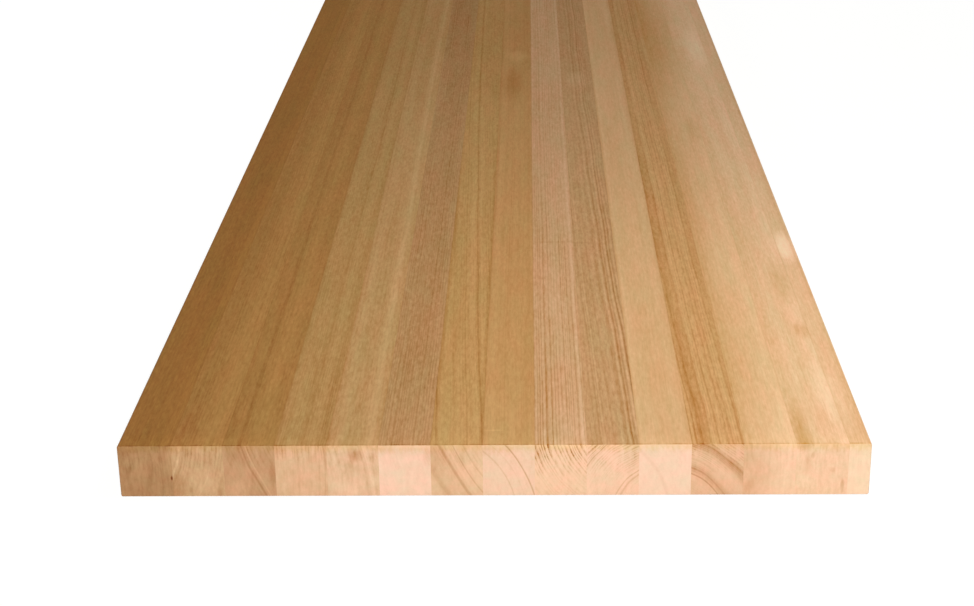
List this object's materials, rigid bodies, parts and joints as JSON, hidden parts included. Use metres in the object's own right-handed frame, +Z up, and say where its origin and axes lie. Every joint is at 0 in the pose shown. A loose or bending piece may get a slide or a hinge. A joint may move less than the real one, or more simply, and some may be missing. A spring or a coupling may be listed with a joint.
{
  "type": "edge-glued larch panel",
  "caption": "Flat solid larch panel of full-length staves glued edge to edge, planed, with lightly eased edges and square sawn ends.",
  "frame": {"origin": "middle of the underside, on the floor", "axes": "+Z up through the thickness, +Y along the grain away from the viewer, +X across the staves to the right"},
  "size_m": [0.6, 2, 0.045],
  "materials": {
    "larch_dark_heart": "planed, unfinished",
    "larch_amber": "planed, unfinished",
    "larch_honey": "planed, unfinished",
    "larch_pale": "planed, unfinished"
  },
  "bodies": {
    "root": {"stave_01": "larch_dark_heart", "stave_02": "larch_dark_heart", "stave_03": "larch_amber", "stave_04": "larch_amber", "stave_05": "larch_honey", "stave_06": "larch_amber", "stave_07": "larch_amber", "stave_08": "larch_honey", "stave_09": "larch_honey", "stave_10": "larch_honey", "stave_11": "larch_pale", "stave_12": "larch_honey", "stave_13": "larch_pale", "stave_14": "larch_pale", "closing_stave": "larch_pale"}
  },
  "joints": []
}
